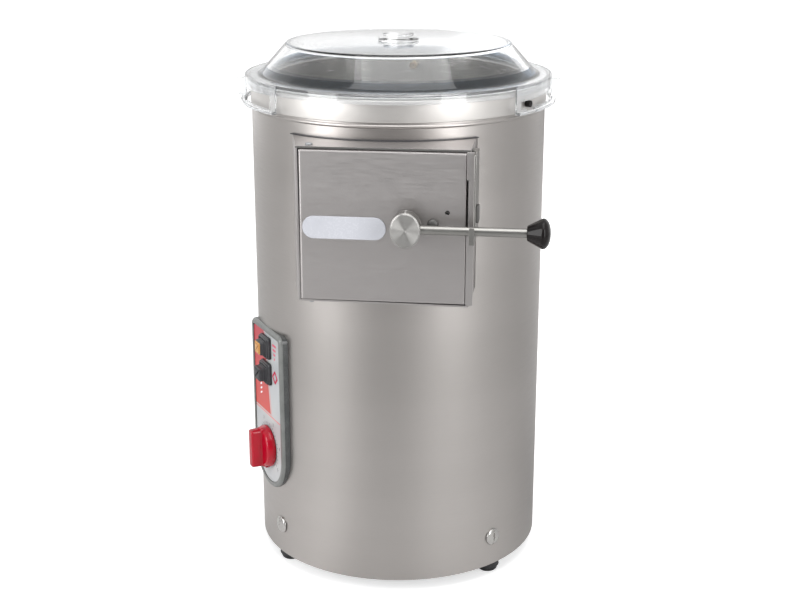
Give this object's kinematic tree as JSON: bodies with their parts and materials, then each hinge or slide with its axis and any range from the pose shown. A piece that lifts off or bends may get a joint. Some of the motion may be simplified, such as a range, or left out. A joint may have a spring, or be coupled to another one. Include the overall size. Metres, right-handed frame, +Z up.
{
  "type": "electric potato peeler",
  "caption": "Steel drum potato peeler with abrasive disc, belt drive, clear bayonet lid, hinged front door with lever, and a side panel with timer knob and push buttons.",
  "frame": {"origin": "on the floor, on the drum's axis, which is the middle of the object's plan box", "axes": "+Z up along the drum's axis, -Y towards the front door, +X to the right seen from the front"},
  "size_m": [0.3996, 0.5186, 0.6659],
  "materials": {
    "satin_steel": "brushed satin",
    "bright_steel": "bright turned or polished",
    "dark_steel": "plain sheet",
    "cast_aluminium": "as cast and machined",
    "motor_iron": "painted casting",
    "abrasive": "coarse grit coat on a cast disc",
    "rubber": "matt black rubber",
    "black_plastic": "glossy black",
    "grey_plastic": "fine-grained grey",
    "panel_film": "printed white film",
    "red_plastic": "glossy red",
    "amber_plastic": "translucent amber",
    "white_plastic": "glossy white",
    "brass": "plain brass",
    "clear_plastic": "clear polycarbonate"
  },
  "bodies": {
    "casing": {"outer_shell": "satin_steel", "inner_liner": "satin_steel", "chamber_floor": "satin_steel", "drain_outlet": "satin_steel", "door_frame": "satin_steel", "top_ring": "bright_steel", "hinge_pin": "bright_steel", "catch_bracket": "bright_steel", "base_screw_1": "bright_steel", "base_screw_2": "bright_steel", "base_screw_3": "bright_steel", "base_screw_4": "bright_steel", "base_pan": "dark_steel", "upper_bearing": "dark_steel", "lower_bearing": "dark_steel", "motor_plate": "dark_steel", "bearing_housing": "cast_aluminium", "motor_body": "motor_iron", "foot_1": "rubber", "foot_2": "rubber", "foot_3": "rubber", "foot_4": "rubber", "shaft_seal": "rubber", "drive_belt": "rubber", "door_gasket": "rubber", "start_collar": "rubber", "stop_collar": "rubber", "bayonet_stud_right": "black_plastic", "bayonet_stud_left": "black_plastic", "cable_gland": "black_plastic", "timer_body": "black_plastic", "start_switch": "black_plastic", "stop_switch": "black_plastic", "panel_bezel": "grey_plastic", "panel_face": "panel_film", "water_pipe": "brass", "water_inlet": "brass"},
    "rotor": {"main_shaft": "bright_steel", "driven_pulley": "cast_aluminium", "abrasive_disc": "abrasive", "disc_nut": "bright_steel"},
    "motor_rotor": {"motor_shaft": "bright_steel", "motor_pulley": "cast_aluminium"},
    "door": {"door_plate": "satin_steel", "badge_plate": "white_plastic", "door_bolt": "bright_steel", "lever_boss": "bright_steel"},
    "lever": {"lever_hub": "bright_steel", "lever_nut": "bright_steel", "lever_rod": "bright_steel", "lever_knob": "black_plastic"},
    "timer": {"timer_spindle": "bright_steel", "timer_knob": "red_plastic"},
    "start": {"start_button": "rubber", "start_lens": "amber_plastic"},
    "stop": {"stop_button": "rubber"},
    "seal": {"rim_seal": "rubber"},
    "lid": {"lid_dome": "clear_plastic", "lid_knob": "clear_plastic"}
  },
  "joints": [
    {"name": "disc_spin", "type": "hinge", "parent": "casing", "child": "rotor", "pos_m": [0, 0, 0.385], "axis": [0, 0, 1], "continuous": true},
    {"name": "motor_spin", "type": "hinge", "parent": "casing", "child": "motor_rotor", "pos_m": [0.08344, 0.08344, 0.218], "axis": [0, 0, 1], "continuous": true},
    {"name": "door_swing", "type": "hinge", "parent": "casing", "child": "door", "pos_m": [-0.0725, -0.2123, 0.4768], "axis": [0, 0, -1], "range_deg": [0, 90]},
    {"name": "lever_turn", "type": "hinge", "parent": "door", "child": "lever", "pos_m": [0.0393, -0.2423, 0.4806], "axis": [0, -1, 0], "range_deg": [0, 75]},
    {"name": "timer_turn", "type": "hinge", "parent": "casing", "child": "timer", "pos_m": [-0.15361, -0.10129, 0.155], "axis": [0.8348, 0.5505, 0], "range_deg": [0, 300]},
    {"name": "start_press", "type": "slide", "parent": "casing", "child": "start", "axis": [0.8348, 0.5505, 0], "range_m": [0, 0.004], "stiffness_N_per_m": 400},
    {"name": "stop_press", "type": "slide", "parent": "casing", "child": "stop", "axis": [0.8348, 0.5505, 0], "range_m": [0, 0.004], "stiffness_N_per_m": 400},
    {"name": "lid_turn", "type": "hinge", "parent": "casing", "child": "seal", "pos_m": [0, 0, 0.612], "axis": [0, 0, -1], "range_deg": [0, 45]},
    {"name": "lid_lift", "type": "slide", "parent": "seal", "child": "lid", "axis": [0, 0, 1], "range_m": [0, 0.12]}
  ],
  "couplings": [
    {"joint": "motor_spin", "follows": "disc_spin", "ratio": 3.569}
  ]
}
